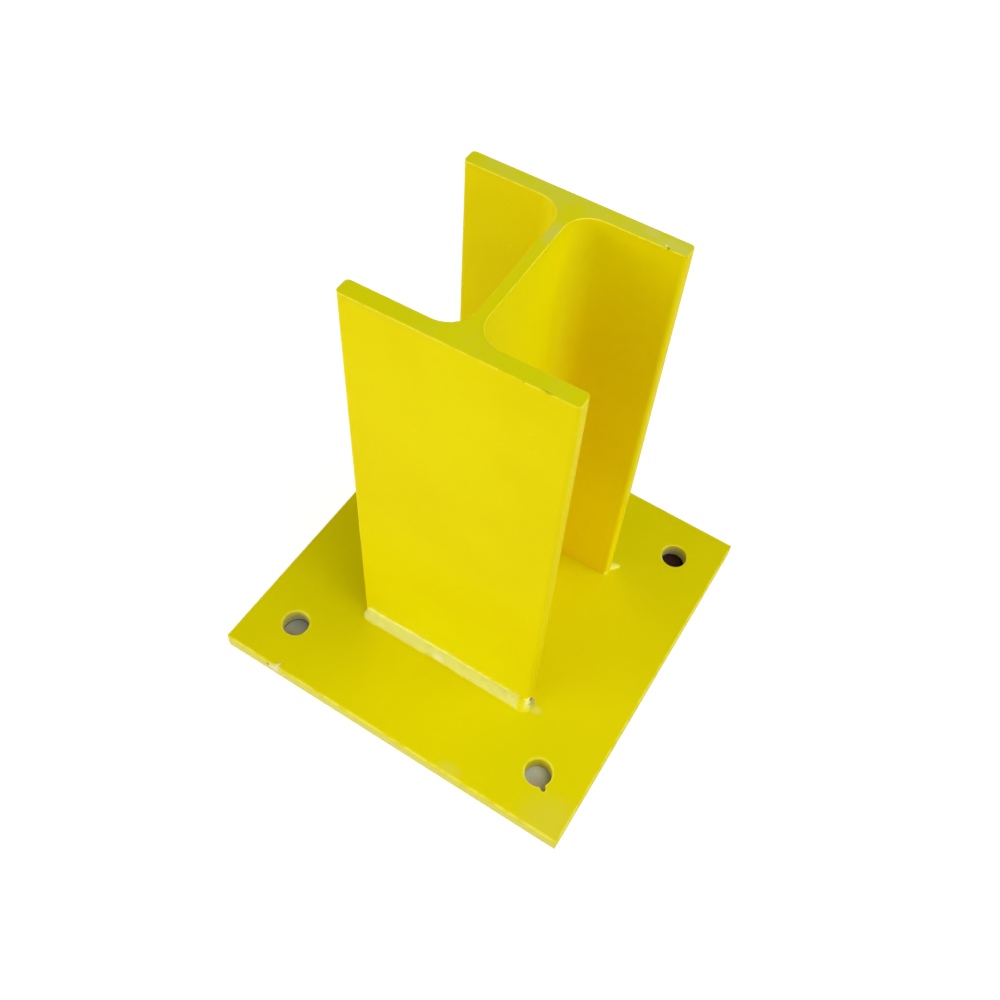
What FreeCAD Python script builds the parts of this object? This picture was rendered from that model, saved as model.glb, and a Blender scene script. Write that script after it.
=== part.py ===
import FreeCAD, Part
import os
import Sketcher

# Low safety bollard: a short length of wide-flange steel section, sawn square at the top and
# welded upright on a square base plate with an anchor hole near each corner.
# Millimetres, +Z up, +X along the flanges, +Y through the section's depth.
# The origin is the centre of the plate's underside.

SIZES = [
    # base plate
    ("plate_length", 200.0, "base plate along X"),
    ("plate_width", 200.0, "base plate along Y"),
    ("plate_thickness", 10.0, "base plate"),
    ("plate_edge_radius", 0.8, "broken edges all round the plate"),
    ("hole_pitch_x", 150.0, "anchor holes, centre to centre along X"),
    ("hole_pitch_y", 150.0, "anchor holes, centre to centre along Y"),
    ("hole_diameter", 14.0, "clearance for an M12 anchor"),
    # rolled section
    ("post_height", 240.0, "length of section above the plate"),
    ("post_turn", 2.1, "degrees by which the post was welded out of square"),
    ("section_depth", 96.0, "over the two flanges"),
    ("flange_width", 100.0, "along X"),
    ("flange_thickness", 8.0, "both flanges"),
    ("web_thickness", 5.0, "web"),
    ("root_radius", 12.0, "where web and flange meet"),
    ("toe_radius", 2.0, "outer corners of the flanges"),
    # bead along the outer face of the front flange, whose left end is at -X
    ("front_left_rise", 8.0, "height up the flange at the left end"),
    ("front_left_reach", 3.7, "width on the plate at the left end"),
    ("front_left_lump", 8.8, "height of the lump where the bead begins"),
    ("front_right_rise", 2.2, "height up the flange at the right end"),
    ("front_right_reach", 6.4, "width on the plate at the right end"),
    ("front_right_lump", 5.6, "height of the lump where the bead stops"),
    # bead along the outer face of the rear flange, seen from behind
    ("rear_left_rise", 4.0, "height up the flange at the left end"),
    ("rear_left_reach", 5.0, "width on the plate at the left end"),
    ("rear_left_lump", 4.4, "height of the lump where the bead begins"),
    ("rear_right_rise", 4.0, "height up the flange at the right end"),
    ("rear_right_reach", 5.0, "width on the plate at the right end"),
    ("rear_right_lump", 4.4, "height of the lump where the bead stops"),
    # beads along both sides of the web
    ("web_bead_rise", 4.0, "height up the web"),
    ("web_bead_reach", 4.0, "width on the plate"),
    # all beads
    ("crown_radius", 8.0, "roundness of a bead's face"),
    ("lump_run", 3.5, "half the length of an end lump, along the bead"),
    ("lump_swell", 0.4, "how much wider an end lump is than its bead"),
    ("lump_wrap", 3.0, "how far an end lump runs back round the flange's toe"),
]

SIDES = (-1, 1)
ROUND_TURN = 360.0


def make_sheet(doc):
    """The driving dimensions, one alias to a cell."""
    sheet = doc.addObject("Spreadsheet::Sheet", "sizes")
    for row, (alias, value, note) in enumerate(SIZES, start=1):
        sheet.set(f"A{row}", alias)
        sheet.set(f"B{row}", str(value))
        sheet.set(f"C{row}", note)
        sheet.setAlias(f"B{row}", alias)
    doc.recompute()
    return sheet


def origin_plane(body, role):
    """A body's own origin plane, such as XY_Plane."""
    return next(item for item in body.Origin.OriginFeatures if item.Role == role)


def new_body(doc, label):
    body = doc.addObject("PartDesign::Body", label)
    body.Label = label
    return body


def new_sketch(body, name, role):
    sketch = body.newObject("Sketcher::SketchObject", name)
    sketch.AttachmentSupport = [(origin_plane(body, role), "")]
    sketch.MapMode = "FlatFace"
    return sketch


def bind(item, path, expression):
    item.setExpression(path, expression)


def pin(sketch, name, axis, side, geometry, end, expression):
    """Holds one point at a distance from the sketch's origin, to the side given by the sign."""
    points = (-1, 1, geometry, end) if side > 0 else (geometry, end, -1, 1)
    distance = sketch.evalExpression(expression)
    index = sketch.addConstraint(Sketcher.Constraint("Distance" + axis, *points, distance))
    sketch.renameConstraint(index, name)
    bind(sketch, "Constraints." + name, expression)


def closed_outline(sketch, corners, construction=False):
    """Straight lines through the corners, joined end to end, each level or upright."""
    first = sketch.GeometryCount
    vectors = [FreeCAD.Vector(x, y, 0) for x, y in corners]
    lines = [Part.LineSegment(a, b) for a, b in zip(vectors, vectors[1:] + vectors[:1])]
    sketch.addGeometry(lines, construction)
    for number, line in enumerate(lines):
        following = (number + 1) % len(lines)
        sketch.addConstraint(
            Sketcher.Constraint("Coincident", first + number, 2, first + following, 1))
        level = abs(line.EndPoint.y - line.StartPoint.y) < abs(line.EndPoint.x - line.StartPoint.x)
        kind = "Horizontal" if level else "Vertical"
        sketch.addConstraint(Sketcher.Constraint(kind, first + number))
    return first


def centred_rectangle(sketch, half_x, half_y, construction=False):
    """A rectangle about the sketch's origin, its half sizes given as expressions."""
    corners = [(-1, -1), (1, -1), (1, 1), (-1, 1)]
    first = closed_outline(sketch, [(10 * x, 10 * y) for x, y in corners], construction)
    pin(sketch, "left", "X", -1, first, 1, half_x)
    pin(sketch, "front", "Y", -1, first, 1, half_y)
    pin(sketch, "right", "X", 1, first + 2, 1, half_x)
    pin(sketch, "back", "Y", 1, first + 2, 1, half_y)
    return first


def make_base_plate(doc):
    """Flat square plate with an anchor hole near each corner."""
    body = new_body(doc, "base_plate")
    outline = new_sketch(body, "plate_outline", "XY_Plane")
    centred_rectangle(outline, "sizes.plate_length / 2", "sizes.plate_width / 2")
    slab = body.newObject("PartDesign::Pad", "plate_slab")
    slab.Profile = outline
    bind(slab, "Length", "sizes.plate_thickness")
    doc.recompute()

    edges = body.newObject("PartDesign::Fillet", "plate_edges")
    edges.Base = (slab, [f"Edge{n}" for n in range(1, len(slab.Shape.Edges) + 1)])
    bind(edges, "Radius", "sizes.plate_edge_radius")
    doc.recompute()

    centres = new_sketch(body, "anchor_hole_centres", "XY_Plane")
    corner = centred_rectangle(
        centres, "sizes.hole_pitch_x / 2", "sizes.hole_pitch_y / 2", construction=True)
    for number in range(4):
        centre = centres.getPoint(corner + number, 1)
        circle = centres.addGeometry(
            Part.Circle(centre, FreeCAD.Vector(0, 0, 1), 5.0), False)
        centres.addConstraint(Sketcher.Constraint("Coincident", circle, 3, corner + number, 1))
        index = centres.addConstraint(Sketcher.Constraint("Diameter", circle, 10.0))
        centres.renameConstraint(index, f"hole{number}")
        bind(centres, f"Constraints.hole{number}", "sizes.hole_diameter")
    holes = body.newObject("PartDesign::Pocket", "anchor_holes")
    holes.Profile = centres
    holes.Type = "ThroughAll"
    holes.Reversed = True
    doc.recompute()
    return body


def upright_edges(shape, wanted):
    """Names of a shape's edges that run along Z and whose foot the test accepts."""
    names = []
    for number, edge in enumerate(shape.Edges, start=1):
        start, end = edge.Vertexes[0].Point, edge.Vertexes[-1].Point
        upright = abs(start.x - end.x) < 1e-6 and abs(start.y - end.y) < 1e-6
        if upright and wanted(start):
            names.append(f"Edge{number}")
    return names


def make_post(doc, sheet):
    """Rolled section on end: two flanges, a web, filleted roots and rounded toes."""
    body = new_body(doc, "post")
    section = new_sketch(body, "section", "XY_Plane")
    half_width, half_web = "sizes.flange_width / 2", "sizes.web_thickness / 2"
    half_depth = "sizes.section_depth / 2"
    inner_face = "sizes.section_depth / 2 - sizes.flange_thickness"
    corners = [(-20, -20), (20, -20), (20, -15), (5, -15), (5, 15), (20, 15),
               (20, 20), (-20, 20), (-20, 15), (-5, 15), (-5, -15), (-20, -15)]
    first = closed_outline(section, corners)
    across = [(0, -1, half_width), (1, 1, half_width), (3, 1, half_web),
              (5, 1, half_width), (7, -1, half_width), (9, -1, half_web)]
    for corner, side, distance in across:
        pin(section, f"across{corner}", "X", side, first + corner, 1, distance)
    through = [(0, -1, half_depth), (2, -1, inner_face), (4, 1, inner_face),
               (6, 1, half_depth), (8, 1, inner_face), (10, -1, inner_face)]
    for corner, side, distance in through:
        pin(section, f"through{corner}", "Y", side, first + corner, 1, distance)
    length = body.newObject("PartDesign::Pad", "section_length")
    length.Profile = section
    bind(length, "Length", "sizes.post_height")
    doc.recompute()

    between = (sheet.web_thickness + sheet.flange_width) / 4
    roots = body.newObject("PartDesign::Fillet", "roots")
    inner_corner = sheet.section_depth / 2 - sheet.flange_thickness
    roots.Base = (length, upright_edges(
        length.Shape,
        lambda foot: abs(foot.x) < between and abs(abs(foot.y) - inner_corner) < 1e-6))
    bind(roots, "Radius", "sizes.root_radius")
    doc.recompute()

    toes = body.newObject("PartDesign::Fillet", "toes")
    toes.Base = (roots, upright_edges(
        roots.Shape, lambda foot: abs(abs(foot.x) - sheet.flange_width / 2) < 1e-6))
    bind(toes, "Radius", "sizes.toe_radius")
    doc.recompute()
    stand_on_plate(body, "0")
    return body


def stand_on_plate(item, quarter_turns):
    """Sets a piece on the plate's top, turned with the post and by whole quarter turns."""
    item.Placement = FreeCAD.Placement(
        FreeCAD.Vector(0, 0, 0), FreeCAD.Rotation(FreeCAD.Vector(0, 0, 1), 1.0))
    bind(item, "Placement.Base.z", "sizes.plate_thickness")
    bind(item, "Placement.Rotation.Angle", f"sizes.post_turn + {quarter_turns} * 90")


def crown_arc(toe, foot, radius):
    """The outward-bulging arc from a bead's upper toe down to its lower one."""
    chord = foot - toe
    outward = FreeCAD.Vector(chord.y, -chord.x, 0).normalize()
    rise = radius - (radius ** 2 - (chord.Length / 2) ** 2) ** 0.5
    return Part.Arc(toe, (toe + foot) / 2 + outward * rise, foot)


def bead_section(body, name, side, half_length, face, bite, rise, reach):
    """A bead's cross-section at one end: buried root, leg up the face, round crown, leg out."""
    sketch = new_sketch(body, name, "YZ_Plane")
    sign = "-" if side < 0 else ""
    bind(sketch, "AttachmentOffset.Base.z", f"{sign}({half_length})")
    root_line, foot_line = f"{face} - {bite}", f"{face} + {reach}"
    drawn = [(root_line, None), (root_line, rise), (face, rise), (foot_line, None)]
    root, top, toe, foot = [
        FreeCAD.Vector(-sketch.evalExpression(out), sketch.evalExpression(up) if up else 0, 0)
        for out, up in drawn]
    crown_radius = sketch.evalExpression("sizes.crown_radius")
    crown = crown_arc(toe, foot, crown_radius)
    sketch.addGeometry([Part.LineSegment(root, top), Part.LineSegment(top, toe), crown,
                        Part.LineSegment(foot, root)], False)
    arc_starts_at_toe = sketch.getPoint(2, 1).distanceToPoint(toe) < 1e-6
    toe_end, foot_end = (1, 2) if arc_starts_at_toe else (2, 1)
    for joint in [(0, 2, 1, 1), (1, 2, 2, toe_end), (2, foot_end, 3, 1), (3, 2, 0, 1)]:
        sketch.addConstraint(Sketcher.Constraint("Coincident", *joint))
    sketch.addConstraint(Sketcher.Constraint("Vertical", 0))
    sketch.addConstraint(Sketcher.Constraint("Horizontal", 1))
    sketch.addConstraint(Sketcher.Constraint("PointOnObject", 3, 1, -1))
    sketch.addConstraint(Sketcher.Constraint("PointOnObject", 0, 1, -1))
    pin(sketch, "root_line", "X", -1, 0, 1, root_line)
    pin(sketch, "face_line", "X", -1, 1, 2, face)
    pin(sketch, "rise", "Y", 1, 1, 2, rise)
    pin(sketch, "foot_line", "X", -1, 3, 1, foot_line)
    index = sketch.addConstraint(Sketcher.Constraint("Radius", 2, crown_radius))
    sketch.renameConstraint(index, "crown")
    bind(sketch, "Constraints.crown", "sizes.crown_radius")
    return sketch


def end_lump(body, name, side, half_length, face, rise, reach):
    """Half an ellipsoid of weld metal where a bead begins or stops."""
    lump = body.newObject("PartDesign::AdditiveEllipsoid", name)
    lump.AttachmentSupport = [(origin_plane(body, "XY_Plane"), "")]
    lump.MapMode = "FlatFace"
    lump.Angle1 = 0.0
    lump.Angle2 = 90.0
    lump.Angle3 = ROUND_TURN
    bind(lump, "Radius1", rise)
    bind(lump, "Radius2", "sizes.lump_run")
    bind(lump, "Radius3", f"({reach} + sizes.lump_swell + sizes.lump_wrap) / 2")
    sign = "-" if side < 0 else ""
    bind(lump, "AttachmentOffset.Base.x", f"{sign}({half_length})")
    bind(lump, "AttachmentOffset.Base.y",
         f"-({face} + ({reach} + sizes.lump_swell - sizes.lump_wrap) / 2)")
    return lump


def make_bead(doc, post, label, quarter_turns, half_length, face, bite, ends, lumps=()):
    """A fillet weld along one face of the post, fitted to that face and to the plate.

    The bead is drawn with its root buried in the post, then the post is cut out of it."""
    body = new_body(doc, label + "_metal")
    sections = []
    for side, (rise, reach) in zip(SIDES, ends):
        name = f"{label}_section{len(sections) + 1}"
        sections.append(bead_section(body, name, side, half_length, face, bite, rise, reach))
    doc.recompute()
    loft = body.newObject("PartDesign::AdditiveLoft", label + "_run")
    loft.Profile = sections[0]
    loft.Sections = sections[1:]
    doc.recompute()
    for side, (rise, reach) in zip(SIDES, lumps):
        name = f"{label}_lump{1 if side < 0 else 2}"
        end_lump(body, name, side, half_length, face, rise, reach)
        doc.recompute()
    stand_on_plate(body, quarter_turns)
    fitted = doc.addObject("Part::Cut", label)
    fitted.Label = label
    fitted.Base = body
    fitted.Tool = post
    return fitted


def make_flange_bead(doc, post, label, name, quarter_turns):
    """The bead along a flange's outer face, with a lump at each end that laps the toe."""
    ends = [(f"sizes.{name}_{end}_rise", f"sizes.{name}_{end}_reach") for end in ("left", "right")]
    lumps = [(f"sizes.{name}_{end}_lump", f"sizes.{name}_{end}_reach") for end in ("left", "right")]
    return make_bead(doc, post, label, quarter_turns, "sizes.flange_width / 2 - sizes.toe_radius / 2",
                     "sizes.section_depth / 2", "sizes.toe_radius", ends, lumps)


def make_web_bead(doc, post, label, quarter_turns):
    """The bead along one side of the web, dying out in the root fillets at both ends."""
    half_length = "sizes.section_depth / 2 - sizes.flange_thickness - sizes.root_radius / 2"
    ends = [("sizes.web_bead_rise", "sizes.web_bead_reach")] * 2
    return make_bead(doc, post, label, quarter_turns, half_length,
                     "sizes.web_thickness / 2", "sizes.web_thickness / 2", ends)


def check(doc, nodes):
    """Stops before anything is written if a step failed or a shape isn't sound."""
    for item in doc.Objects:
        if "Invalid" in item.State or "Error" in item.State:
            raise RuntimeError(f"{item.Name}: {item.State}")
    for node in nodes:
        if node.Shape.isNull() or not node.Shape.isValid():
            raise RuntimeError(f"{node.Label}: no valid shape")
    plate = nodes[0]
    before = plate.Group[1].Shape.Volume
    if plate.Shape.Volume >= before:
        raise RuntimeError("the anchor holes cut nothing")


def main():
    os.makedirs("parts", exist_ok=True)
    doc = FreeCAD.newDocument("low_safety_bollard")
    sheet = make_sheet(doc)
    plate = make_base_plate(doc)
    post = make_post(doc, sheet)
    nodes = [plate, post,
             make_flange_bead(doc, post, "front_weld", "front", 0),
             make_flange_bead(doc, post, "rear_weld", "rear", 2),
             make_web_bead(doc, post, "right_web_weld", 1),
             make_web_bead(doc, post, "left_web_weld", 3)]
    doc.recompute()
    check(doc, nodes)
    for node in nodes:
        box = node.Shape.BoundBox
        print(f"{node.Label}: {len(node.Shape.Solids)} solid, {node.Shape.Volume:.1f} mm3,",
              f"x {box.XMin:.2f} to {box.XMax:.2f}, y {box.YMin:.2f} to {box.YMax:.2f},",
              f"z {box.ZMin:.2f} to {box.ZMax:.2f}")
        node.Shape.exportStep(f"parts/{node.Label}.step")


main()
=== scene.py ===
import math

import bmesh
import bpy
import numpy as np
from mathutils import Matrix, Vector


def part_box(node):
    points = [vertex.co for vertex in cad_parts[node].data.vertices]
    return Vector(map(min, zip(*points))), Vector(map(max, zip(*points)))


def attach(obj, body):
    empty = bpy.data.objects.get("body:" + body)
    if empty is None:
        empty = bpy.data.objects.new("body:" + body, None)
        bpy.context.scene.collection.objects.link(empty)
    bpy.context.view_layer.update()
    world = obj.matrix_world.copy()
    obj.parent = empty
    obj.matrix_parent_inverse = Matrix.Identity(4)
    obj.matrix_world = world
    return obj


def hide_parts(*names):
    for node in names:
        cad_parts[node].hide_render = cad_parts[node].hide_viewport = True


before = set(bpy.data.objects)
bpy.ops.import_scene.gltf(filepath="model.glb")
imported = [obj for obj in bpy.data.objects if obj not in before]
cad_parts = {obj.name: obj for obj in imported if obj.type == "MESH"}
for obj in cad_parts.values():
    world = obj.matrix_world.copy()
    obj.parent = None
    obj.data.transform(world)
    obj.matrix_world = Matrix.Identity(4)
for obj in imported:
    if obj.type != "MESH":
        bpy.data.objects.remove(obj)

# Low safety bollard: a short length of wide-flange steel section, sawn square at the top, welded
# upright on a square base plate with four anchor holes, and painted yellow. Metres, +Z up, +X along
# the flanges, +Y through the section's depth, origin at the centre of the plate's underside.
# The tables of beads and patches are in millimetres.

MM = 0.001
QUARTER = math.pi / 2
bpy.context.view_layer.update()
PLATE_LOW, PLATE_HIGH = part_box("base_plate")
MERGE_DISTANCE = 1e-6
TINY = 1e-7

# base plate
HALF_PLATE = PLATE_HIGH[0]
PLATE_TOP = PLATE_HIGH[2]
PLATE_EDGE_RADIUS = 0.7 * MM
HOLE_OFFSET = 75.0 * MM
HOLE_RADIUS = 7.0 * MM
HOLE_RIM_RADIUS = 0.55 * MM
# a notch torn in the near hole's rim: bearing, depth, half its width as an angle
NEAR_NOTCH = (math.radians(-43), 2.7 * MM, 0.17)

# rolled section and the way it stands
POST_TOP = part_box("post")[1][2]
POST_TURN = math.radians(2.1)
HALF_DEPTH = 48.0 * MM
HALF_WIDTH = 50.0 * MM
FLANGE_THICKNESS = 8.0 * MM
HALF_WEB = 2.5 * MM
ROOT_RADIUS = 12.0 * MM
TOE_RADIUS = 2.0 * MM
SAWN_EDGE_RADIUS = 0.35 * MM
ROLLING_WAVE = 0.05 * MM
ROLLING_WAVELENGTH = 60 * MM

# weld beads
BEAD_STEP = 0.2 * MM
BEAD_POINTS_ACROSS = 26
BEAD_END = 2.2 * MM
BEAD_BURIED = 0.35 * MM
REACH_WANDER, REACH_WAVELENGTH = 0.22 * MM, 9 * MM
RISE_WANDER, RISE_WAVELENGTH = 0.12 * MM, 7 * MM
RIPPLE_PITCH, RIPPLE_LAG, RIPPLE_HEIGHT = 1.5 * MM, 1.3 * MM, 0.055 * MM

# bead stations: mm along the flange or web, mm up the steel, mm out on the plate, pale share
FRONT_BEAD = ((-49.8, 4.8, 2.5, 0.4), (-48.4, 7.2, 3.2, 0.9), (-46, 9.2, 3.7, 1), (-43.5, 9.2, 3.9, 1),
              (-41, 8.2, 3.9, 1), (-30, 8.0, 4.2, 1), (-22, 7.8, 4.5, 1), (-12, 7.3, 4.6, 1),
              (-6, 6.1, 4.3, 1), (2, 6.5, 4.9, 1), (10, 4.7, 5.2, 1), (26, 3.5, 5.9, 1), (36, 3.0, 6.6, 1),
              (43, 2.7, 6.6, 1), (45.0, 2.4, 6.6, 1), (46.4, 2.0, 6.8, 0.9), (48.0, 2.3, 6.9, 1),
              (49.0, 3.8, 5.9, 1), (49.8, 4.4, 4.2, 1), (51.0, 3.5, 2.5, 0.9), (52.6, 2.0, 1.5, 0.6))
REAR_BEAD = ((-53.2, 0.5, 0.6, 0.8), (-52.0, 0.8, 1.2, 1), (-50.9, 0.9, 2.2, 1), (-50.4, 1.0, 4.0, 1),
             (-50.0, 1.1, 7.4, 1), (-49.5, 1.1, 3.6, 1), (-49, 1.1, 2.6, 1), (-48, 1.4, 2.2, 1),
             (-46.5, 2.2, 2.8, 1), (-44, 3.8, 4.8, 1), (-20, 4.2, 4.8, 1), (0, 3.8, 5.2, 1),
             (20, 4.1, 4.9, 1), (44, 4.0, 5.0, 1), (49, 4.4, 4.6, 1), (53, 3.4, 3.2, 1))
WEB_BEAD = ((-34, 3.6, 3.6, 1), (-28, 4.0, 4.0, 1), (0, 4.0, 4.1, 1), (28, 4.0, 4.0, 1),
            (34, 3.6, 3.6, 1))
# pits where the front bead stops: mm along, share of the way down, mm size, mm deep, bare share
FRONT_PITS = ((45.9, 0.2, 1.9, 0.4, 0.0), (46.8, 0.5, 1.9, 0.5, 0.0), (47.5, 0.8, 1.6, 0.4, 0.0),
              (50.4, 0.2, 1.0, 0.5, 1.0), (50.2, 0.5, 1.4, 0.1, 0.6), (50.1, 0.8, 1.3, 0.06, 0.5))

# torn spur of paint on the plate's front edge: mm, from the side up on to the top face
BURR_LINE = ((-68.4, -99.3, 7.4), (-67.9, -99.3, 8.8), (-67.5, -99.1, 9.9), (-67.2, -98.3, 10.2),
             (-66.8, -97.0, 10.3))
BURR_RADIUS = 1.3 * MM

# camera: where it stands, the floor point it looks at, its roll, lens and small off-centre shift
CAMERA_AT = (0.13807, -0.26037, 0.52980)
CAMERA_AIM = (-0.01738, 0.09876, 0.0)
CAMERA_ROLL = math.radians(8.96)
CAMERA_LENS = 38.875
CAMERA_SENSOR = 36.0
CAMERA_SHIFT = (-0.0549, -0.0357)

# studio: softboxes as name, bearing from -Y towards +X, height angle, power
SOFTBOXES = (
    ("front", 0.0, 25.0, 2.5),
    ("front_low", 0.0, 8.0, 2.9),
    ("front_left_low", -45.0, 8.0, 13.7),
    ("front_left_high", -45.0, 42.0, 2.4),
    ("front_right_low", 45.0, 8.0, 2.4),
    ("right_low", 90.0, 8.0, 7.1),
    ("right_high", 90.0, 60.0, 12.1),
    ("back_right_high", 135.0, 60.0, 2.4),
    ("back_low", 190.0, 6.0, 4.5),
)
SOFTBOX_TARGET = (0, 0, 0.12)
SOFTBOX_DISTANCE = 1.6
SOFTBOX_SIDE = 1.2
WORLD_LIGHT = 0.1
WHITE = (1.0, 1.0, 1.0, 1.0)
HALF_FLOOR = 6.0
FLOOR_GAP = 0.05 * MM
# share of a white glow in what the camera sees of the floor, and the glow's strength
FLOOR_LIFT, FLOOR_GLOW = 0.62, 1.34


# Shapes


def turned(points, angle=POST_TURN):
    """Points turned about +Z, by default from the post's frame to the object's."""
    c, s = math.cos(angle), math.sin(angle)
    out = np.array(points, dtype=float)
    out[..., 0], out[..., 1] = (c * points[..., 0] - s * points[..., 1],
                                s * points[..., 0] + c * points[..., 1])
    return out


def grid_faces(rows, columns, close_rows, close_columns):
    """Quads of a grid of rows x columns points, as index rows, joined round where asked."""
    r = np.arange(rows if close_rows else rows - 1)
    c = np.arange(columns if close_columns else columns - 1)
    r0, c0 = np.meshgrid(r, c, indexing="ij")
    r1, c1 = (r0 + 1) % rows, (c0 + 1) % columns
    return np.stack([r0 * columns + c0, r0 * columns + c1,
                     r1 * columns + c1, r1 * columns + c0], axis=-1).reshape(-1, 4)


def smooth_noise(points, wavelength, seed):
    """Sum of sines along fixed random directions, about -1 to 1, with the given wavelength."""
    rng = np.random.default_rng(seed)
    total = np.zeros(points.shape[:-1])
    waves = 7
    for _ in range(waves):
        direction = rng.normal(size=points.shape[-1])
        direction /= np.linalg.norm(direction)
        length = wavelength * rng.uniform(0.7, 1.5)
        total += np.sin(points @ direction * (2 * math.pi / length) + rng.uniform(0, 2 * math.pi))
    return total / math.sqrt(waves * 2)


def make_piece(name, points, faces, node, materials, marks=None, caps=()):
    """A mesh from arrays, welded, facing outwards, that rides on the body and replaces its node.

    Its grid faces are smooth and its caps flat. Marks are values by point that materials read."""
    mesh = bpy.data.meshes.new(name)
    mesh.from_pydata(points.tolist(), [], faces.tolist() + [list(cap) for cap in caps])
    for label, values in (marks or {}).items():
        mesh.attributes.new(label, "FLOAT", "POINT").data.foreach_set("value", values.ravel())
    mesh.polygons.foreach_set("use_smooth", np.arange(len(mesh.polygons)) < len(faces))
    build = bmesh.new()
    build.from_mesh(mesh)
    loose = [vertex for vertex in build.verts if not vertex.link_faces]
    bmesh.ops.delete(build, geom=loose, context="VERTS")
    bmesh.ops.remove_doubles(build, verts=build.verts, dist=MERGE_DISTANCE)
    bmesh.ops.dissolve_degenerate(build, edges=build.edges, dist=TINY)
    if build.calc_volume(signed=True) < 0:
        bmesh.ops.reverse_faces(build, faces=build.faces)
    build.to_mesh(mesh)
    build.free()
    for material in materials:
        mesh.materials.append(material)
    piece = bpy.data.objects.new(name, mesh)
    bpy.context.scene.collection.objects.link(piece)
    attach(piece, "root")
    if node:
        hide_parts(node)
    return piece


# Post


def section_outline(step=4 * MM, margin=0.25 * MM, toe_steps=8, root_steps=18):
    """The section's outline, anticlockwise, and its outward normals.

    Each corner is an arc: centre + radius * n, with n turning from one side's normal to the next's,
    outside the metal at the four roots and inside it at the eight toes. A straight run between two
    arcs has a point close to each end and the rest evenly spaced."""
    x, y = HALF_WIDTH, HALF_DEPTH
    w, f = HALF_WEB, HALF_DEPTH - FLANGE_THICKNESS
    corners = np.array([(-x, -y), (x, -y), (x, -f), (w, -f), (w, f), (x, f),
                        (x, y), (-x, y), (-x, f), (-w, f), (-w, -f), (-x, -f)])
    ahead = np.roll(corners, -1, axis=0) - corners
    length = np.linalg.norm(ahead, axis=1)
    ahead /= length[:, None]
    behind = np.roll(ahead, 1, axis=0)
    convex = behind[:, 0] * ahead[:, 1] - behind[:, 1] * ahead[:, 0] > 0
    radius = np.where(convex, TOE_RADIUS, ROOT_RADIUS)
    points, normals = [], []
    for i in range(len(corners)):
        sign = 1 if convex[i] else -1
        left = np.array([-behind[i][1], behind[i][0]])
        centre = corners[i] - behind[i] * radius[i] + sign * left * radius[i]
        start = math.atan2(-left[1], -left[0])
        steps = toe_steps if convex[i] else root_steps
        angle = start + sign * np.linspace(0, QUARTER, steps + 1)
        n = np.stack([np.cos(angle), np.sin(angle)], axis=1)
        points.append(centre + sign * radius[i] * n)
        normals.append(n)
        run = length[i] - radius[i] - radius[(i + 1) % len(corners)]
        along = np.linspace(margin, run - margin, max(2, int(run / step)))
        points.append(corners[i] + ahead[i] * radius[i] + along[:, None] * ahead[i])
        normals.append(np.tile([ahead[i][1], -ahead[i][0]], (len(along), 1)))
    return np.concatenate(points), np.concatenate(normals)


def bounce_tint_share(outline, heights):
    """How far each point lies on the rear flange's inner right face and down from the sawn end.

    0 to 1: rising with y over a band at the root's curve, times rising with depth below the top.
    It sets a painted orange tint there: painted bounce light from the channel's yellow walls."""
    band_from, band_over, deepens_over = 33 * MM, 7 * MM, 70 * MM
    x, y = outline[:, 0], outline[:, 1]
    on_face = (x > HALF_WEB) & (x < HALF_WIDTH - TOE_RADIUS)
    on_face &= np.abs(y) < HALF_DEPTH - FLANGE_THICKNESS + 0.01 * MM
    across = on_face * np.clip((y - band_from) / band_over, 0, 1)
    down = np.clip((POST_TOP - heights) / deepens_over, 0, 1)
    return np.outer(down, across)


def post_piece(materials):
    """The post: its outline carried up from the plate. Its sawn end has the second material.

    Point = outline - inset * normal + wave * normal. The inset is nought up the sides, then
    r * (1 - cos a) at height top - r * (1 - sin a), which rolls the sawn edge over. The wave is a
    slow noise, always inwards. A flat face closes the sawn end, and another the foot."""
    outline, normals = section_outline()
    r = SAWN_EDGE_RADIUS
    roll = np.linspace(0, QUARTER, 7)
    sides = np.concatenate([[PLATE_TOP, PLATE_TOP + 0.03 * MM],
                            np.linspace(PLATE_TOP + 2 * MM, POST_TOP - r - 4 * MM, 44),
                            [POST_TOP - r - 0.15 * MM]])
    heights = np.concatenate([sides, POST_TOP - r * (1 - np.sin(roll))])
    inset = np.concatenate([np.zeros(len(sides)), r * (1 - np.cos(roll))])
    edge = np.concatenate([np.zeros(len(sides)), np.ones(len(roll))])
    rows, columns = len(heights), len(outline)
    grid = np.empty((rows, columns, 3))
    grid[..., :2] = outline[None] - inset[:, None, None] * normals[None]
    grid[..., 2] = heights[:, None]
    wave = -ROLLING_WAVE * (1 + smooth_noise(grid, ROLLING_WAVELENGTH, 11)) * (edge[:, None] == 0)
    grid[..., :2] += wave[..., None] * normals[None]
    top = np.arange(columns) + (rows - 1) * columns
    foot = np.arange(columns)[::-1]
    # the inside mark carries the painted bounce tint of the channel
    marks = {"edge": np.repeat(edge, columns), "inside": bounce_tint_share(outline, heights)}
    piece = make_piece("painted_post", turned(grid.reshape(-1, 3)),
                       grid_faces(rows, columns, False, True), "post", materials,
                       marks=marks, caps=(top.tolist(), foot.tolist()))
    sawn_end = max(piece.data.polygons, key=lambda polygon: polygon.center.z)
    sawn_end.material_index = 1
    return piece


# Base plate


def hole_radii(angle, notch):
    """Radius of an anchor hole by angle: round, with the rim torn outwards at a notch."""
    radius = np.full(angle.shape, HOLE_RADIUS)
    if notch:
        at, depth, width = notch
        away = (angle - at + math.pi) % (2 * math.pi) - math.pi
        radius += depth * np.exp(-(away / width) ** 4)
    return radius


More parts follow.
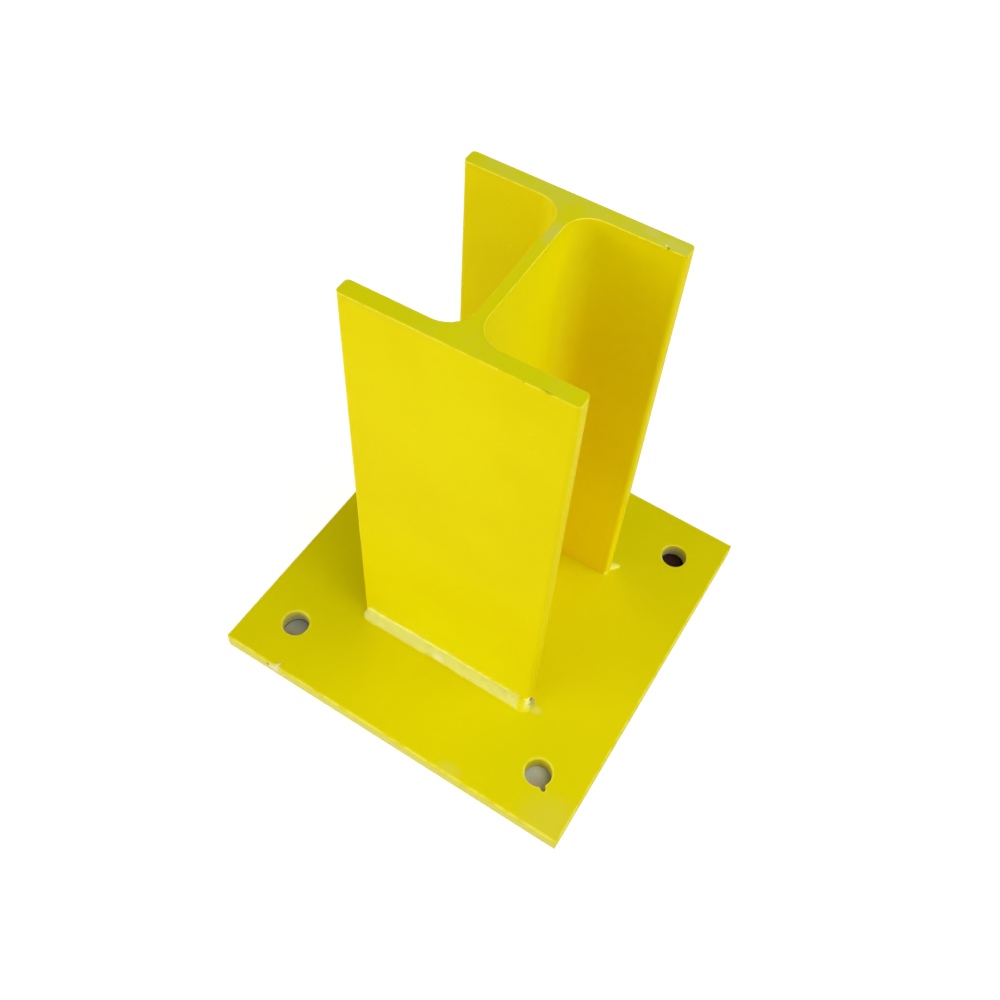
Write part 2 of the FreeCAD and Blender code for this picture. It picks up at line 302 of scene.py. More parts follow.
def quarter_rays(hole, high):
    """Rays from a hole's axis: direction, where each meets the quarter's square border, and the
    border's outward normal there, which fans through a quarter turn at the plate's corner."""
    low, steps, fan = 0.0, 144, 5
    corner_angles = [math.atan2(y - hole[1], x - hole[0])
                     for x, y in ((high, high), (low, high), (low, low), (high, low))]
    angle = np.unique(np.round(np.concatenate(
        [np.linspace(-math.pi, math.pi, steps, endpoint=False), corner_angles]), 9))
    angle = np.sort(np.concatenate([angle, np.full(fan - 1, corner_angles[0])]))
    ray = np.stack([np.cos(angle), np.sin(angle)], axis=1)
    side = np.where(ray > 0, high - hole, low - hole)
    reach = side / np.where(np.abs(ray) > 1e-6, ray, np.sign(side) * 1e-6)
    border = hole + ray * reach.min(axis=1, keepdims=True)
    at_right = np.abs(border[:, 0] - high) < TINY
    at_back = np.abs(border[:, 1] - high) < TINY
    outward = np.zeros_like(border)
    outward[at_right] = (1, 0)
    outward[at_back] = (0, 1)
    corner = np.flatnonzero(at_right & at_back)
    turn = np.linspace(0, QUARTER, len(corner))
    outward[corner] = np.stack([np.cos(turn), np.sin(turn)], axis=1)
    return ray, border, outward, at_right, at_back


def plate_quarter(sign_x, sign_y, notch):
    """One quarter of the plate, as rings round its anchor hole.

    Rays leave the hole's axis at every angle. Ring by ring, a point goes up the hole's wall, over
    the rounded rim, along its ray to the quarter's square border, and on the outer sides over the
    edge, down and back under the plate to the hole. At the outer corner the edge's normal fans
    through a quarter turn, which rounds the corner."""
    hole = np.array([HOLE_OFFSET, HOLE_OFFSET])
    ray, border, outward, at_right, at_back = quarter_rays(hole, HALF_PLATE - PLATE_EDGE_RADIUS)
    radius = hole_radii(np.arctan2(sign_y * ray[:, 1], sign_x * ray[:, 0]), notch)
    rim, edge, top = HOLE_RIM_RADIUS, PLATE_EDGE_RADIUS, PLATE_TOP
    roll = np.linspace(0, QUARTER, 6)
    outer = (np.abs(outward).sum(axis=1) > 0).astype(float)
    rim_line = hole + ray * (radius + rim)[:, None]
    rings, marks, depths = [], [], []

    def ring(xy, z, mark=0.0, depth=0.0):
        rings.append(np.concatenate([xy, np.full((len(xy), 1), z)], axis=1))
        marks.append(np.ones(len(xy)) * mark)
        depths.append(np.ones(len(xy)) * depth)

    def over_rim(a):
        return hole + ray * (radius + rim * (1 - np.cos(a)))[:, None]

    # depth marks down the wall: thin paint, and painted shade deeper in the hole
    for height in np.linspace(rim, top - rim, 9)[:-1]:
        ring(over_rim(0), height, depth=1 - height / top)
    for a in roll:
        ring(over_rim(a), top - rim * (1 - np.sin(a)), mark=1.0)
    for share in (0.012, 0.04, 0.09, 0.16, 0.25, 0.36, 0.48, 0.6, 0.72, 0.83, 0.92, 0.97, 0.99):
        ring(rim_line + (border - rim_line) * share, top)
    first_edge = len(rings)
    # outer edge, side and lower edge: depth marks for painted shade on the sides, edge marks for the paler
    # tone and painted highlight
    for a in roll:
        ring(border + outward * edge * np.sin(a), top - edge * (1 - np.cos(a)), mark=outer,
             depth=0.18 * outer * math.sin(a))
    for height in np.linspace(top - edge, edge, 6)[1:-1]:
        ring(border + outward * edge, height, mark=0.2 * outer, depth=0.27 * outer)
    for a in roll[::-1]:
        ring(border + outward * edge * np.sin(a), edge * (1 - np.cos(a)), mark=0.1 * outer,
             depth=0.3 * outer)
    last_edge = len(rings) - 1
    for share in (0.99, 0.7, 0.35, 0.1):
        ring(rim_line + (border - rim_line) * share, 0.0)
    for a in roll[::-1]:
        ring(over_rim(a), rim * (1 - np.sin(a)), depth=1.0)

    grid = np.stack(rings)
    rows, columns = grid.shape[:2]
    faces = grid_faces(rows, columns, True, True)
    row, column = faces[:, 0] // columns, faces[:, 0] % columns
    following = (column + 1) % columns
    on_outside = (at_right[column] & at_right[following]) | (at_back[column] & at_back[following])
    faces = faces[(row < first_edge) | (row >= last_edge) | on_outside]
    grid[..., 0] *= sign_x
    grid[..., 1] *= sign_y
    if sign_x * sign_y < 0:
        faces = faces[:, ::-1]
    return grid.reshape(-1, 3), faces, np.concatenate(marks), np.concatenate(depths)


def plate_piece(materials):
    """The base plate: four quarters welded along their shared borders."""
    points, faces, marks, depths, count = [], [], [], [], 0
    for sign_x, sign_y, notch in ((-1, -1, None), (1, -1, NEAR_NOTCH), (1, 1, None), (-1, 1, None)):
        p, f, m, d = plate_quarter(sign_x, sign_y, notch)
        points.append(p)
        faces.append(f + count)
        marks.append(m)
        depths.append(d)
        count += len(p)
    return make_piece("painted_plate", np.concatenate(points), np.concatenate(faces), "base_plate",
                      materials, marks={"edge": np.concatenate(marks),
                                                        "depth": np.concatenate(depths)})


# Weld beads and the spur of paint


def toe_path(along):
    """The line of a flange's foot and its outward normal, by distance from the flange's middle.

    Straight along the outer face, then a quarter circle of the toe's radius, then back along the
    flange's edge."""
    side = np.sign(along)
    distance = np.abs(along)
    straight_end = HALF_WIDTH - TOE_RADIUS
    angle = np.clip((distance - straight_end) / TOE_RADIUS, 0, QUARTER)
    past = np.maximum(distance - straight_end - TOE_RADIUS * QUARTER, 0)
    normal = np.stack([side * np.sin(angle), -np.cos(angle)], axis=-1)
    centre = np.stack([side * np.minimum(distance, straight_end),
                       np.full(along.shape, TOE_RADIUS - HALF_DEPTH)], axis=-1)
    points = centre + TOE_RADIUS * normal
    points[..., 1] += past
    return points, normal


def web_path(along):
    """A straight line along the web's foot and its outward normal."""
    points = np.stack([along, np.full(along.shape, -HALF_WEB)], axis=-1)
    return points, np.tile([0.0, -1.0], along.shape + (1,))


def wander(along, wavelength, seed):
    """A slow noise by distance along a bead."""
    return smooth_noise(np.stack([along, along * 0], axis=-1), wavelength, seed)


def softened(values):
    """The values averaged over a short bell-shaped window."""
    half_window = 4
    window = np.hanning(2 * half_window + 1)
    return np.convolve(np.pad(values, half_window, mode="edge"), window / window.sum(), mode="valid")


def bead_piece(name, node, path, quarter_turns, stations, materials, seed, crown=0.13, pits=()):
    """A fillet bead along a path.

    Between stations the legs run smoothly. Across the bead, a point goes from the upper toe to the
    lower one along the chord, bulged by crown * chord * sin(pi * u) ** 0.85, with crescent ripples
    laid across and a slow wander of the legs, and returns buried in the steel. A pit dents it by
    depth * exp(-(distance / size) ** 4)."""
    stations = np.array(stations, dtype=float)
    start, end = stations[0, 0] * MM, stations[-1, 0] * MM
    count = int((end - start) / BEAD_STEP)
    along = np.linspace(start, end, count)
    rise, reach, pale = [softened(np.interp(along, stations[:, 0] * MM, stations[:, k]))
                         for k in (1, 2, 3)]
    uneven = wander(along, REACH_WAVELENGTH, seed)
    reach = reach * MM + REACH_WANDER * uneven
    rise = rise * MM + RISE_WANDER * wander(along, RISE_WAVELENGTH, seed + 1)
    from_end = np.minimum(along - start, end - along)
    taper = np.sqrt(np.clip(1 - (1 - np.clip(from_end / BEAD_END, 0, 1)) ** 2, 0, 1))
    rise, reach = rise * taper, reach * taper

    u = np.linspace(0, 1, BEAD_POINTS_ACROSS)
    chord = np.hypot(rise, reach)[:, None]
    direction = np.stack([rise, reach], axis=1) / np.maximum(chord, 1e-9)
    lag = RIPPLE_LAG * (1 - (2 * u - 1) ** 2)
    phase = (along[:, None] + lag) / RIPPLE_PITCH + 0.35 * uneven[:, None]
    ripple = RIPPLE_HEIGHT * np.sin(2 * math.pi * phase) * np.sin(math.pi * u) * taper[:, None]
    lift = crown * chord * np.sin(math.pi * u) ** 0.85 + ripple
    bare = np.zeros((count, BEAD_POINTS_ACROSS))
    pale = np.repeat(pale[:, None], BEAD_POINTS_ACROSS, 1)
    for at, share, size, depth, bare_share in pits:
        away = np.hypot((along[:, None] - at * MM) / (size * MM), (u - share) * chord / (size * MM))
        dent = np.exp(-away ** 4)
        lift = lift - depth * MM * dent
        bare = np.maximum(bare, dent * bare_share)
        pale = pale * (1 - dent * (1 - bare_share))
    out = reach[:, None] * u + lift * direction[:, :1]
    up = rise[:, None] * (1 - u) + lift * direction[:, 1:]

    deep = np.full(count, -BEAD_BURIED)
    shrink = np.clip(taper, 0.02, 1)[:, None]
    out = np.concatenate([out, np.stack([reach - BEAD_BURIED, deep, deep], axis=1) * shrink], axis=1)
    up = np.concatenate([up, np.stack([deep, deep, rise - BEAD_BURIED], axis=1) * shrink], axis=1)
    base, normal = path(along)
    grid = np.empty(out.shape + (3,))
    grid[..., :2] = base[:, None] + out[..., None] * normal[:, None]
    grid[..., 2] = PLATE_TOP + up
    grid = turned(turned(grid, quarter_turns * QUARTER))
    rows, columns = grid.shape[:2]
    hidden = np.zeros((rows, columns - BEAD_POINTS_ACROSS))
    marks = {"pale": np.concatenate([pale, hidden], axis=1),
             "bare": np.concatenate([bare, hidden], axis=1),
             "crest": np.concatenate([np.tile(1 - u, (rows, 1)), hidden], axis=1)}
    first = np.arange(columns)
    return make_piece(name, grid.reshape(-1, 3), grid_faces(rows, columns, False, True), node,
                      materials, marks=marks,
                      caps=(first[::-1].tolist(), (first + (rows - 1) * columns).tolist()))


def burr_piece(materials):
    """A torn spur of paint over the plate's front edge: a thin closed ridge.

    Point = centre + radius * (cos a * across + sin a * up), where the centre follows a bent line
    and the radius is BURR_RADIUS * sin(pi * t) ** 0.6 * (1 - 0.45 * t), roughened by noise."""
    bends = np.array(BURR_LINE) * MM
    t = np.linspace(0, 1, 40)
    centre = np.stack([np.interp(t, np.linspace(0, 1, len(bends)), bends[:, k]) for k in range(3)],
                      axis=1)
    ahead = np.gradient(centre, axis=0)
    ahead /= np.linalg.norm(ahead, axis=1)[:, None]
    across = np.cross(ahead, [0.0, 0.0, 1.0])
    across /= np.linalg.norm(across, axis=1)[:, None]
    up = np.cross(across, ahead)
    radius = BURR_RADIUS * np.sin(math.pi * t) ** 0.6 * (1 - 0.45 * t)
    radius *= 1 + 0.25 * smooth_noise(centre, 1.5 * MM, 21)
    a = np.linspace(0, 2 * math.pi, 12, endpoint=False)
    grid = centre[:, None] + radius[:, None, None] * (np.cos(a)[None, :, None] * across[:, None]
                                                      + np.sin(a)[None, :, None] * up[:, None])
    grid[..., 1] = np.maximum(grid[..., 1], -HALF_PLATE + 0.01 * MM)
    return make_piece("edge_burr", grid.reshape(-1, 3), grid_faces(*grid.shape[:2], False, True),
                      None, materials)


# Shader nodes


def srgb(red, green, blue):
    """A colour as seen, 0 to 255, as the linear RGBA that a shader takes."""
    values = np.array([red, green, blue]) / 255.0
    linear = np.where(values <= 0.04045, values / 12.92, ((values + 0.055) / 1.055) ** 2.4)
    return (*linear.tolist(), 1.0)


def feed(tree, socket, value):
    """Gives a socket a plain value, or links another node's output to it."""
    if hasattr(value, "links"):
        tree.links.new(value, socket)
    else:
        socket.default_value = value


def math_node(tree, operation, first, second=None, clamp=False):
    node = tree.nodes.new("ShaderNodeMath")
    node.operation = operation
    node.use_clamp = clamp
    feed(tree, node.inputs[0], first)
    if second is not None:
        feed(tree, node.inputs[1], second)
    return node.outputs[0]


def times(tree, first, second):
    return math_node(tree, "MULTIPLY", first, second)


def vector_node(tree, operation, first, second=None):
    node = tree.nodes.new("ShaderNodeVectorMath")
    node.operation = operation
    feed(tree, node.inputs[0], first)
    if second is not None:
        feed(tree, node.inputs[1], second)
    return node.outputs["Value" if operation == "LENGTH" else "Vector"]


def mix_colour(tree, share, first, second):
    node = tree.nodes.new("ShaderNodeMix")
    node.data_type = "RGBA"
    for number, value in ((0, share), (6, first), (7, second)):
        feed(tree, node.inputs[number], value)
    return node.outputs[2]


def noise(tree, vector, scale, detail=2.0):
    node = tree.nodes.new("ShaderNodeTexNoise")
    feed(tree, node.inputs["Vector"], vector)
    feed(tree, node.inputs["Scale"], scale)
    node.inputs["Detail"].default_value = detail
    return node.outputs["Fac"]


def ramp(tree, value, low, high):
    """0 below low, 1 above high, eased between."""
    node = tree.nodes.new("ShaderNodeMapRange")
    node.interpolation_type = "SMOOTHSTEP"
    node.inputs["From Min"].default_value = low
    node.inputs["From Max"].default_value = high
    feed(tree, node.inputs["Value"], value)
    return node.outputs["Result"]


def split(tree, vector):
    node = tree.nodes.new("ShaderNodeSeparateXYZ")
    feed(tree, node.inputs[0], vector)
    return node.outputs


def attribute(tree, name):
    node = tree.nodes.new("ShaderNodeAttribute")
    node.attribute_name = name
    return node.outputs["Fac"]


def new_group(name, inputs, outputs):
    """An empty shader group with its sockets: (name, kind, default) in, names of values out."""
    group = bpy.data.node_groups.new(name, "ShaderNodeTree")
    for label, kind, default in inputs:
        socket = group.interface.new_socket(label, in_out="INPUT", socket_type=kind)
        if default is not None:
            socket.default_value = default
    for label in outputs:
        group.interface.new_socket(label, in_out="OUTPUT", socket_type="NodeSocketFloat")
    given, result = group.nodes.new("NodeGroupInput"), group.nodes.new("NodeGroupOutput")
    return group, given.outputs, result.inputs


def coat_group():
    """Sprayed coat: a fine peel for the bump, a slow blotch for the colour, and sparse specks."""
    group, given, result = new_group(
        "sprayed_coat",
        [("Vector", "NodeSocketVector", None), ("Peel Scale", "NodeSocketFloat", 900.0),
         ("Blotch Scale", "NodeSocketFloat", 14.0)],
        ["Peel", "Blotch", "Specks"])
    feed(group, result["Peel"], noise(group, given["Vector"], given["Peel Scale"], 3.0))
    blotch = noise(group, given["Vector"], given["Blotch Scale"])
    feed(group, result["Blotch"], ramp(group, blotch, 0.3, 0.7))
    specks = noise(group, given["Vector"], 420.0, 1.0)
    feed(group, result["Specks"], ramp(group, specks, 0.735, 0.77))
    return group


def spot_group():
    """A soft oval patch: 1 at its centre, fading to 0 at its radii, its outline broken by noise."""
    group, given, result = new_group(
        "soft_spot",
        [("Vector", "NodeSocketVector", None), ("Centre", "NodeSocketVector", None),
         ("Radii", "NodeSocketVector", (0.01, 0.01, 0.01)), ("Raggedness", "NodeSocketFloat", 0.3)],
        ["Mask"])
    away = vector_node(group, "SUBTRACT", given["Vector"], given["Centre"])
    distance = vector_node(group, "LENGTH", vector_node(group, "DIVIDE", away, given["Radii"]))
    rough = math_node(group, "SUBTRACT", noise(group, given["Vector"], 700.0), 0.5)
    total = math_node(group, "ADD", distance, times(group, rough, given["Raggedness"]))
    feed(group, result["Mask"], math_node(group, "SUBTRACT", 1.0, ramp(group, total, 0.2, 1.0)))
    return group


def saw_group():
    """Saw marks: fine lines along the vector's Y, and the patches where they show more."""
    group, given, result = new_group(
        "saw_marks", [("Vector", "NodeSocketVector", None)], ["Lines", "Patches"])
    stretch = group.nodes.new("ShaderNodeMapping")
    stretch.inputs["Scale"].default_value = (1500.0, 90.0, 1.0)
    feed(group, stretch.inputs["Vector"], given["Vector"])
    feed(group, result["Lines"], noise(group, stretch.outputs["Vector"], 1.0, 3.0))
    patches = noise(group, given["Vector"], 55.0)
    feed(group, result["Patches"], ramp(group, patches, 0.42, 0.7))
    return group


def use_group(tree, group, **values):
    """Places a group, its sockets named with underscores, and gives back its outputs."""
    node = tree.nodes.new("ShaderNodeGroup")
    node.node_tree = group
    for label, value in values.items():
        feed(tree, node.inputs[label.replace("_", " ")], value)
    return node.outputs


def metres(millimetres):
    return [value * MM for value in millimetres]


def spot_mask(tree, place, spot, centre, radii):
    """The mask of one soft patch, its centre and radii in mm."""
    return use_group(tree, spot, Vector=place, Centre=metres(centre), Radii=metres(radii))["Mask"]


def patched(tree, place, spot, colour, patches):
    """The colour with soft patches laid over it: (centre, radii, colour, strength) each, in mm."""
    for centre, radii, tint, strength in patches:
        mask = spot_mask(tree, place, spot, centre, radii)
        colour = mix_colour(tree, times(tree, mask, strength), colour, tint)
    return colour


def seen_directly(tree):
    """1 for rays that come from the camera, straight, by a mirror or through glass."""
    rays = tree.nodes.new("ShaderNodeLightPath").outputs
    straight = math_node(tree, "ADD", rays["Is Camera Ray"], rays["Is Glossy Ray"])
    return math_node(tree, "ADD", straight, rays["Is Transmission Ray"], clamp=True)


def mix_shaders(tree, share, first, second, output):
    node = tree.nodes.new("ShaderNodeMixShader")
    for number, value in enumerate((share, first, second)):
        feed(tree, node.inputs[number], value)
    feed(tree, output.inputs["Surface"], node.outputs[0])


# Finishes

PAINT = srgb(240, 223, 0)
PAINT_DEEP = srgb(236, 217, 0)
# painted bounce light: the orange of light bounced round the channel, laid in the paint colour
CHANNEL_BOUNCE_TINT = srgb(243, 212, 0)
# the post's yellow paint, tinted greener as painted light: the cooler light from above on the flat plate
PLATE_PAINT = srgb(235, 223, 0)
PLATE_DEEP = srgb(231, 219, 0)
# paler paint built up on rounded edges, and a painted highlight where they turn to the light; also the
# specks' colour
PAINT_EDGE = srgb(247, 239, 80)
# the post's paler edge tone, with its painted highlight
POST_EDGE = srgb(250, 241, 64)
TORN = srgb(246, 238, 190)
TORN_DEEP = srgb(240, 230, 150)
# greener partly from thin paint over the saw cut, and partly as a painted tint of the cooler light from
# above
SAWN = srgb(230, 225, 2)
SAWN_DULL = srgb(224, 219, 8)
SAWN_DUSTY = srgb(221, 219, 66)
# paler thin coat on the beads, and partly a painted sheen of the light on their slope
PALE = srgb(235, 233, 116)
PALE_GREY = srgb(229, 225, 128)
PALE_DULL = srgb(216, 209, 122)
# painted highlight along each bead's upper toe
CREST_HIGHLIGHT = srgb(255, 253, 116)
BARE_STEEL = srgb(158, 149, 116)
# thin paint down the anchor holes, darkened as painted shade; also laid on the plate's outer sides as
# painted shade
HOLE_WALL = srgb(212, 206, 148)
# painted shadow line at the foot of each hole's wall
HOLE_FOOT_SHADE = srgb(66, 58, 38)
FLOOR_PALE = srgb(238, 238, 236)
CONCRETE = srgb(176, 180, 178)
CONCRETE_PALE = srgb(206, 206, 204)
PAINT_SHEEN = 0.025
# scales of the noise that breaks up the paler edge tone and its painted highlight
PLATE_BREAKS, POST_BREAKS = 160.0, 270.0

# places where the colour differs: centre, radii, colour, strength; rows that stand for painted light or
# shade say so
PLATE_SPOTS = (
    ((60.0, -68.0, 10.0), (48, 42, 20), srgb(228, 218, 0), 1.0),
    ((55.6, -47.6, 10.0), (6.4, 3.4, 4), srgb(232, 226, 112), 0.5),
    ((37.0, -97.0, 10.0), (9, 4, 6), srgb(228, 222, 100), 0.3),
    # painted reflection: paler, whiter plate near the front right corner
    ((92.0, -93.0, 10.0), (22, 18, 12), srgb(223, 213, 72), 0.4),
)
PLATE_CHIPS = (
    ((-70.2, -100.0, 5.6), (4.8, 2, 4.6), srgb(240, 231, 196), 1.0),
    ((-68.3, -100.0, 6.4), (2.4, 2, 4.4), srgb(244, 236, 196), 1.0),
    ((-73.7, -100.0, 6.2), (1.3, 2, 1.8), srgb(116, 106, 54), 0.85),
)
POST_SPOTS = (
    # painted light: front face lighter and greener towards its foot
    ((12.0, -48.0, 14.0), (95, 6, 62), srgb(240, 231, 0), 0.8),
    ((4.0, -2.0, 235.0), (30, 64, 150), srgb(238, 228, 0), 0.85),
    # painted bounce light: rear flange's inner face brighter and more orange low down, then a deeper
    # orange higher up
    ((32.0, 41.0, 45.0), (50, 9, 80), srgb(254, 227, 0), 1.0),
    ((30.0, 41.0, 178.0), (42, 9, 45), srgb(236, 207, 0), 0.7),
    # painted light: rear toe strip brighter low down, against the plate's shade there
    ((50.5, 44.0, 32.0), (6, 5, 48), srgb(255, 241, 8), 1.0),
    ((48.4, 42.4, 10.6), (3, 3, 3.4), srgb(255, 255, 110), 1.0),
    ((-9.8, -48.4, 22.0), (2.2, 2, 1.8), srgb(252, 240, 50), 0.6),
    ((-36.0, -49.4, 21.0), (1.8, 2, 1.6), srgb(252, 240, 50), 0.6),
    ((-22.5, -48.9, 23.8), (2.4, 2, 1.6), srgb(252, 240, 50), 0.5),
)
# dark pits on the rear flange's top, and painted shade and highlight bits along the front flange's top
# edge
POST_PITS_AND_EDGE_LIGHT = (
    ((48.1, 41.8, 249.9), (0.9, 0.8, 1.2), srgb(92, 84, 22), 1.0),
    ((40.0, 41.4, 249.8), (0.6, 0.5, 0.8), srgb(140, 130, 24), 0.7),
    # painted shadow bits along the front flange's top edge
    ((38.9, -46.4, 249.8), (2.0, 0.7, 0.7), srgb(180, 170, 10), 0.5),
    ((29.4, -46.9, 249.8), (1.0, 0.5, 0.6), srgb(184, 174, 10), 0.5),
    # painted highlight bit along the front flange's top edge
    ((18.8, -47.5, 249.8), (0.7, 0.5, 0.6), srgb(255, 246, 90), 0.8),
)
WELD_SPOTS = (
    ((50.6, 50.0, 11), (6, 6, 5), srgb(255, 252, 96), 1.0),
    ((-0.5, -52.0, 12), (5, 4, 3.5), srgb(250, 243, 190), 0.7),
    ((-45.5, -50.0, 15.8), (1.3, 3, 1.3), srgb(160, 150, 84), 0.4),
    ((-36.0, -51.0, 13), (5, 4, 2.5), srgb(246, 241, 150), 0.6),
    ((51.3, -48.6, 12), (1.2, 4.5, 4.5), srgb(252, 248, 160), 0.9),
)
SAWN_SPOTS = (
    ((0.0, -4.0, 250), (16.0, 52.0, 3), srgb(235, 225, 2), 0.6),
    ((0.3, 22.0, 250), (4.5, 8.0, 3), srgb(221, 218, 96), 0.6),
    ((42.0, 44.5, 250), (11.0, 6.0, 3), srgb(222, 220, 104), 0.5),
    ((30.6, 46.2, 250), (5.0, 3.2, 3), srgb(224, 219, 110), 0.55),
    ((38.7, 42.9, 250), (1.0, 1.0, 3), srgb(244, 240, 150), 0.9),
    ((39.9, 42.0, 250), (0.8, 0.8, 3), srgb(84, 76, 20), 1.0),
    # painted shadow line along the front flange's top edge
    ((38.6, -46.1, 250), (3.6, 0.5, 3), srgb(160, 152, 16), 0.55),
)
# where front flange and web meet on the sawn end, and the saw marks show most: centre, radii
SAW_JUNCTION = ((-2, -42, 250), (26, 14, 9))
# concrete seen through the holes; dark brown to near black under the rear right hole as painted shade
GROUND_SPOTS = (
    ((-79.0, -68.0, 0), (9.0, 9.0, 9.0), srgb(172, 180, 184), 1.0),
    ((-78.0, -80.0, 0), (6.5, 6.5, 6.5), srgb(178, 160, 140), 0.8),
    ((73.0, -67.0, 0), (9.0, 9.0, 9.0), srgb(222, 226, 222), 1.0),
    ((75.0, -79.5, 0), (6.2, 6.2, 6.2), srgb(204, 181, 156), 0.8),
    # painted shade: the ground under the rear right hole, darkest near its back
    ((75.0, 78.0, 0), (60.0, 60.0, 60.0), srgb(62, 42, 38), 1.0),
    ((74.0, 84.0, 0), (4.0, 4.0, 4.0), srgb(12, 9, 9), 0.9),
)


def new_material(name):
    """A material, its tree, its surface shader, and the place on the object."""
    material = bpy.data.materials.new(name)
    material.use_nodes = True
    tree = material.node_tree
    place = tree.nodes.new("ShaderNodeTexCoord").outputs["Object"]
    return material, tree, tree.nodes["Principled BSDF"], place


def finish_paint(tree, surface, colour, grain, roughness, height, strength, distance):
    """Puts the colour, the roughness by a grain, the paint's sheen and a bump on a surface."""
    feed(tree, surface.inputs["Base Color"], colour)
    spread = tree.nodes.new("ShaderNodeMapRange")
    spread.inputs["To Min"].default_value, spread.inputs["To Max"].default_value = roughness
    feed(tree, spread.inputs["Value"], grain)
    feed(tree, surface.inputs["Roughness"], spread.outputs["Result"])
    surface.inputs["Specular IOR Level"].default_value = PAINT_SHEEN
    relief = tree.nodes.new("ShaderNodeBump")
    relief.inputs["Strength"].default_value = strength
    relief.inputs["Distance"].default_value = distance
    feed(tree, relief.inputs["Height"], height)
    feed(tree, surface.inputs["Normal"], relief.outputs["Normal"])


def paint_material(name, coat, spot, light, deep, patches=(), chips_and_edge_light=(), edge_tint_and_highlight=PAINT_EDGE,
                   breaks=PLATE_BREAKS):
    """Satin yellow paint: a light and a deep tone, a painted orange tint of bounce light in the
    channel, thin paint with painted shade down the holes and on the plate's sides, patches where
    the colour differs (some of them painted light), a paler tone with a painted highlight along
    broken stretches of the edges, and chipped spots, pits and bits of painted edge light and shade
    over all of it."""
    material, tree, surface, place = new_material(name)
    film = use_group(tree, coat, Vector=place)
    colour = mix_colour(tree, film["Blotch"], light, deep)
    # painted bounce light: orange tint on the rear flange's inner right face
    colour = mix_colour(tree, attribute(tree, "inside"), colour, CHANNEL_BOUNCE_TINT)
    depth = attribute(tree, "depth")
    # greyer and darker down each hole and on the plate's sides: thin paint, and painted shade
    colour = mix_colour(tree, ramp(tree, depth, 0.1, 0.5), colour, HOLE_WALL)
    colour = mix_colour(tree, ramp(tree, depth, 0.86, 0.97), colour, HOLE_FOOT_SHADE)
    colour = mix_colour(tree, times(tree, film["Specks"], 0.25), colour, PAINT_EDGE)
    colour = patched(tree, place, spot, colour, patches)
    broken = ramp(tree, noise(tree, place, breaks, 3.0), 0.34, 0.56)
    # along broken stretches of the edges: paler paint there, and a painted highlight
    edge = times(tree, times(tree, attribute(tree, "edge"), broken), 0.75)
    colour = patched(tree, place, spot, mix_colour(tree, edge, colour, edge_tint_and_highlight), chips_and_edge_light)
    finish_paint(tree, surface, colour, film["Blotch"], (0.42, 0.5),
                 height=film["Peel"], strength=0.12, distance=0.06 * MM)
    return material


def sawn_material(coat, spot, saw):
    """Thin paint over a sawn end: duller, greener partly from the thin paint and partly as a painted tint
    of the cooler light from above, dusty to the rear, with saw marks.
    """
    material, tree, surface, place = new_material("painted_saw_cut")
    film = use_group(tree, coat, Vector=place)
    marks = use_group(tree, saw, Vector=place)
    colour = mix_colour(tree, film["Blotch"], SAWN, SAWN_DULL)
    rearwards = ramp(tree, split(tree, place)["Y"], 4 * MM, 30 * MM)
    dust = times(tree, rearwards, ramp(tree, noise(tree, place, 75.0, 3.0), 0.36, 0.62))
    colour = mix_colour(tree, times(tree, dust, 0.6), colour, SAWN_DUSTY)
    cut = math_node(tree, "MAXIMUM", marks["Patches"], spot_mask(tree, place, spot, *SAW_JUNCTION))
    lines = times(tree, ramp(tree, marks["Lines"], 0.5, 0.64), cut)
    colour = mix_colour(tree, times(tree, lines, 0.45), colour, SAWN_DUSTY)
    colour = patched(tree, place, spot, colour, SAWN_SPOTS)
    finish_paint(tree, surface, colour, marks["Lines"], (0.5, 0.62),
                 height=math_node(tree, "ADD", marks["Lines"], film["Peel"]),
                 strength=0.25, distance=0.06 * MM)
    return material


def weld_material(coat, spot):
    """Paler coat over a weld bead, partly a painted sheen of the light on its slope, with a painted
    highlight along its upper toe and bare steel in its pits.
    """
    material, tree, surface, place = new_material("painted_weld")
    film = use_group(tree, coat, Vector=place, Blotch_Scale=130.0)
    crest = attribute(tree, "crest")
    mottle = noise(tree, place, 210.0, 3.0)
    colour = mix_colour(tree, times(tree, film["Blotch"], 0.6), PALE, PALE_GREY)
    colour = mix_colour(tree, times(tree, ramp(tree, mottle, 0.48, 0.7), 0.4), colour, PALE_DULL)
    colour = patched(tree, place, spot, colour, WELD_SPOTS)
    broken = math_node(tree, "ADD", 0.45, times(tree, ramp(tree, mottle, 0.35, 0.6), 0.55))
    # painted highlight along the upper toe, broken by the mottle
    upper = times(tree, ramp(tree, crest, 0.82, 0.9), broken)
    colour = mix_colour(tree, upper, colour, CREST_HIGHLIGHT)
    uneven = times(tree, math_node(tree, "SUBTRACT", noise(tree, place, 230.0), 0.5), 0.3)
    lower = ramp(tree, math_node(tree, "ADD", crest, uneven), -0.05, 0.2)
    colour = mix_colour(tree, times(tree, attribute(tree, "pale"), lower), PLATE_PAINT, colour)
    colour = mix_colour(tree, ramp(tree, attribute(tree, "bare"), 0.25, 0.8), colour, BARE_STEEL)
    finish_paint(tree, surface, colour, film["Blotch"], (0.4, 0.5),
                 height=film["Peel"], strength=0.2, distance=0.1 * MM)
    return material


# Studio


